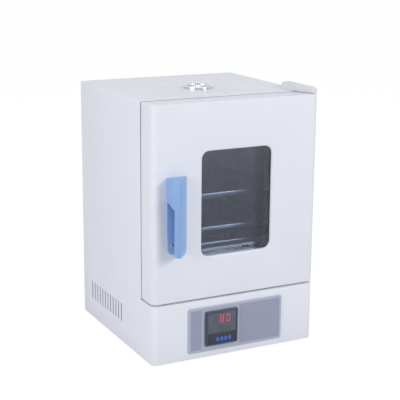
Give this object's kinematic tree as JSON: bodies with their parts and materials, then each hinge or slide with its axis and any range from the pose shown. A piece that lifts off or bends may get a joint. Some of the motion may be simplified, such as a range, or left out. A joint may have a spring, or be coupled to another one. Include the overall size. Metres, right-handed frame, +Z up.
{
  "type": "drying oven",
  "caption": "Small bench drying oven with a glazed side-hinged door, perforated shelves in a steel chamber, a top air vent and a digital temperature controller.",
  "frame": {"origin": "on the bench, under the middle of the oven's outline", "axes": "+Z up, +Y from the door to the back panel, +X to the right seen from the front, the hinge side"},
  "size_m": [0.3675, 0.4056, 0.5345],
  "materials": {
    "white_powder_coat": "satin",
    "galvanised_sheet": "satin",
    "stainless_sheet": "satin",
    "heater_tube": "satin",
    "bush_brass": "satin",
    "glass_wool": "matte",
    "window_glass": "gloss",
    "silicone_seal": "matte",
    "foot_rubber": "matte",
    "handle_plastic": "satin",
    "cover_plastic": "satin",
    "panel_plastic": "satin",
    "controller_plastic": "satin",
    "lens_plastic": "gloss",
    "key_plastic": "satin",
    "bright_chrome": "polished",
    "black_plastic": "satin",
    "white_plastic": "satin"
  },
  "bodies": {
    "cabinet": {"cabinet_shell": "white_powder_coat", "base_deck": "white_powder_coat", "back_panel": "white_powder_coat", "front_frame": "white_powder_coat", "bottom_plate": "galvanised_sheet", "hinge_plate_top": "galvanised_sheet", "hinge_bracket_bottom": "galvanised_sheet", "inner_chamber": "stainless_sheet", "floor_plate": "stainless_sheet", "shelf_uprights": "stainless_sheet", "shelf_clips": "stainless_sheet", "vent_duct": "stainless_sheet", "heater_brackets": "stainless_sheet", "temperature_probe": "stainless_sheet", "heater_rods": "heater_tube", "chamber_insulation": "glass_wool", "door_gasket": "silicone_seal", "rubber_feet": "foot_rubber", "hinge_cover": "cover_plastic", "control_panel": "panel_plastic", "controller_body": "controller_plastic", "controller_face": "controller_plastic", "display_lens": "lens_plastic", "vent_base": "bright_chrome", "power_inlet": "black_plastic", "switch_housing": "black_plastic", "overheat_limiter": "black_plastic", "terminal_block": "black_plastic", "magnet_catch": "white_plastic", "solid_state_relay": "white_plastic"},
    "door": {"door_outer_panel": "white_powder_coat", "door_inner_panel": "stainless_sheet", "door_insulation": "glass_wool", "window_outer_glass": "window_glass", "window_inner_glass": "window_glass", "window_liner": "stainless_sheet", "window_seals": "silicone_seal", "handle_grip": "handle_plastic", "handle_backplate": "handle_plastic", "hinge_bushes": "bush_brass", "hinge_blocks": "galvanised_sheet", "strike_plate": "galvanised_sheet"},
    "damper": {"vent_disc": "bright_chrome", "vent_knob": "bright_chrome"},
    "upper_shelf": {"shelf_upper": "stainless_sheet"},
    "lower_shelf": {"shelf_lower": "stainless_sheet"},
    "rocker": {"power_rocker": "black_plastic"},
    "key_1": {"controller_key_1": "key_plastic"},
    "key_2": {"controller_key_2": "key_plastic"},
    "key_3": {"controller_key_3": "key_plastic"},
    "key_4": {"controller_key_4": "key_plastic"}
  },
  "joints": [
    {"name": "door_hinge", "type": "hinge", "parent": "cabinet", "child": "door", "pos_m": [0.1725, -0.14, 0.326], "axis": [0, 0, 1], "range_deg": [0, 110]},
    {"name": "vent_turn", "type": "hinge", "parent": "cabinet", "child": "damper", "pos_m": [0, 0.002, 0.525], "axis": [0, 0, 1], "range_deg": [0, 45]},
    {"name": "upper_shelf_slide", "type": "slide", "parent": "cabinet", "child": "upper_shelf", "axis": [0, -1, 0], "range_m": [-0.03, 0.013]},
    {"name": "lower_shelf_slide", "type": "slide", "parent": "cabinet", "child": "lower_shelf", "axis": [0, -1, 0], "range_m": [-0.03, 0.013]},
    {"name": "rocker_tilt", "type": "hinge", "parent": "cabinet", "child": "rocker", "pos_m": [-0.072, 0.1962, 0.072], "axis": [1, 0, 0], "range_deg": [0, 20]},
    {"name": "key_1_press", "type": "slide", "parent": "cabinet", "child": "key_1", "axis": [0, 1, 0], "range_m": [0, 0.0008], "stiffness_N_per_m": 300},
    {"name": "key_2_press", "type": "slide", "parent": "cabinet", "child": "key_2", "axis": [0, 1, 0], "range_m": [0, 0.0008], "stiffness_N_per_m": 300},
    {"name": "key_3_press", "type": "slide", "parent": "cabinet", "child": "key_3", "axis": [0, 1, 0], "range_m": [0, 0.0008], "stiffness_N_per_m": 300},
    {"name": "key_4_press", "type": "slide", "parent": "cabinet", "child": "key_4", "axis": [0, 1, 0], "range_m": [0, 0.0008], "stiffness_N_per_m": 300}
  ]
}
